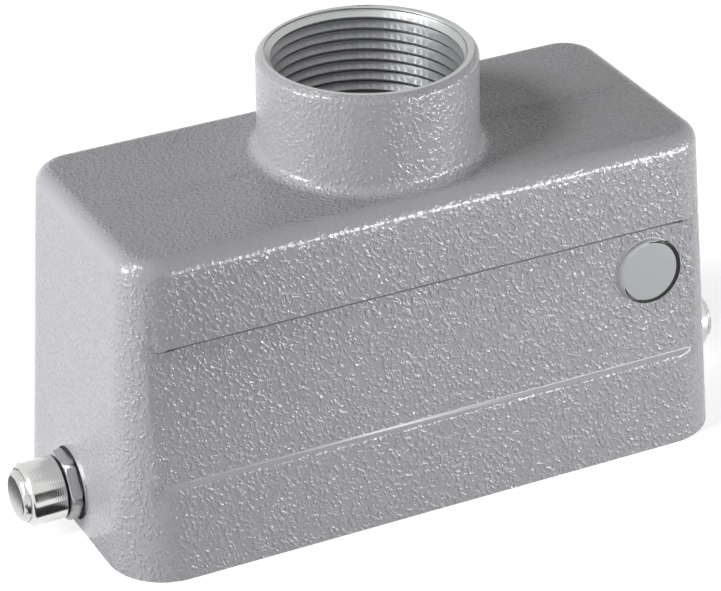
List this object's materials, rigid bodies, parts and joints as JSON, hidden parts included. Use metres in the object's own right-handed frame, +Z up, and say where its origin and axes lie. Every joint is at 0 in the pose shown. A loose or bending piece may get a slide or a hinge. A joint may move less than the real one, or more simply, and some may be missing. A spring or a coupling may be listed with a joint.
{
  "type": "top-entry hood of a heavy-duty rectangular multipole connector",
  "caption": "Die-cast metal connector hood with a threaded cable entry on top, an open cavity below and a roller locking peg on each end.",
  "frame": {"origin": "centre of the bottom rim, in the plane of the rim", "axes": "+X along the hood's long side towards the right peg, +Y away from the side with the round pad, +Z up through the cable entry"},
  "size_m": [0.11, 0.043, 0.062],
  "materials": {
    "powder_coated_casting": "textured powder coat",
    "plated_stud": "bright nickel plate",
    "turned_roller": "turned and nickel plated"
  },
  "bodies": {
    "hood": {"hood_shell": "powder_coated_casting", "left_peg_stud": "plated_stud", "right_peg_stud": "plated_stud"},
    "left_roller": {"left_roller": "turned_roller"},
    "right_roller": {"right_roller": "turned_roller"}
  },
  "joints": [
    {"name": "left_roller_spin", "type": "hinge", "parent": "hood", "child": "left_roller", "pos_m": [-0.0513, 0, 0.006], "axis": [-1, 0, 0], "continuous": true},
    {"name": "right_roller_spin", "type": "hinge", "parent": "hood", "child": "right_roller", "pos_m": [0.0513, 0, 0.006], "axis": [1, 0, 0], "continuous": true}
  ]
}
